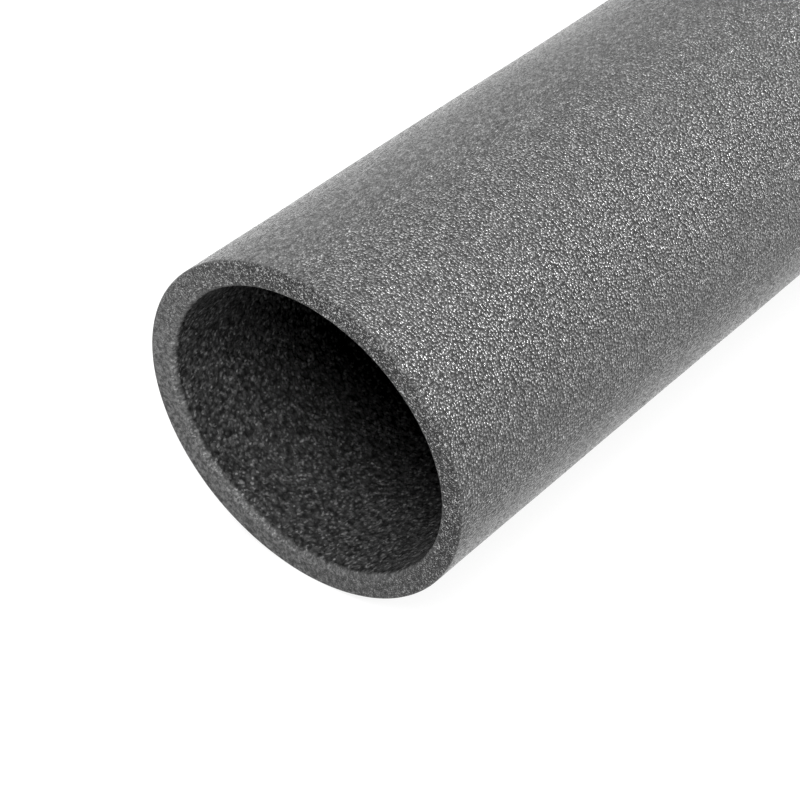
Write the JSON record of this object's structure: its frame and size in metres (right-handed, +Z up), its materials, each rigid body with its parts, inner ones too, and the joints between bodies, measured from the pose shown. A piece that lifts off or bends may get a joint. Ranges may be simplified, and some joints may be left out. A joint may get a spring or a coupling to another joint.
{
  "type": "pipe insulation lagging",
  "caption": "Straight length of grey closed-cell foam tube with an even wall and an open bore, slipped over a drain or heating pipe to insulate it.",
  "frame": {"origin": "on the floor under the middle of the tube, at the centre of its length and width", "axes": "+X along the bore, -X being the end that the picture shows; +Y across the tube, its wider way; +Z up"},
  "size_m": [1, 0.1336, 0.124],
  "materials": {
    "grey_foam": "closed-cell polyethylene foam, mid-grey, fine bubbly skin with small glints, matt cut ends"
  },
  "bodies": {
    "root": {"foam_tube": "grey_foam"}
  },
  "joints": []
}
